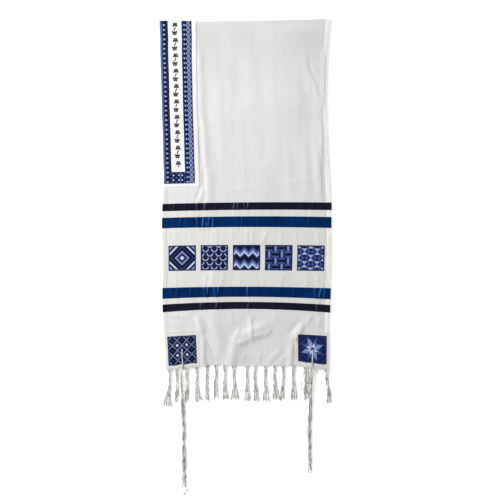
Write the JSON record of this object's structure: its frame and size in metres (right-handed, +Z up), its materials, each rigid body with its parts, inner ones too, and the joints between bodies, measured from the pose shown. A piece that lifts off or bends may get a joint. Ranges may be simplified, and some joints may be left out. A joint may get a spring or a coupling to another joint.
{
  "type": "tallit prayer shawl",
  "caption": "White prayer shawl folded once and laid flat, with blue ribbons, embroidered squares, a neckband, knotted fringe and corner tzitzit.",
  "frame": {"origin": "on the surface it lies on, under the middle of the footprint, tzitzit included", "axes": "+Z up from the surface, +Y towards the fold, +X to the right of the shawl seen from above with the fold away from the viewer"},
  "size_m": [0.517, 1.4324, 0.0132],
  "materials": {
    "shawl_cotton": "matt, fine plain weave",
    "neckband_satin": "soft satin",
    "patterned_braid": "woven pattern, slight sheen",
    "navy_taffeta": "taffeta sheen",
    "blue_taffeta": "taffeta sheen",
    "blue_embroidery": "satin stitch, slight sheen",
    "patch_cotton": "matt",
    "white_yarn": "matt, twisted"
  },
  "bodies": {
    "root": {"shawl_cloth": "shawl_cotton", "neckband_ground": "neckband_satin", "neckband_panel": "neckband_satin", "neckband_outer_border": "patterned_braid", "neckband_inner_border": "patterned_braid", "neckband_front_end": "patterned_braid", "neckband_back_end": "patterned_braid", "ribbon_navy_upper": "navy_taffeta", "ribbon_blue_upper": "blue_taffeta", "ribbon_blue_lower": "blue_taffeta", "ribbon_navy_lower": "navy_taffeta", "embroidered_square_1": "blue_embroidery", "embroidered_square_2": "blue_embroidery", "embroidered_square_3": "blue_embroidery", "embroidered_square_4": "blue_embroidery", "embroidered_square_5": "blue_embroidery", "corner_patch_left": "patch_cotton", "corner_patch_right": "patch_cotton", "corner_square_left": "blue_embroidery", "corner_square_right": "blue_embroidery", "fringe_front": "white_yarn", "fringe_back": "white_yarn", "tzitzit_front_left": "white_yarn", "tzitzit_front_right": "white_yarn", "tzitzit_back_left": "white_yarn", "tzitzit_back_right": "white_yarn"}
  },
  "joints": []
}
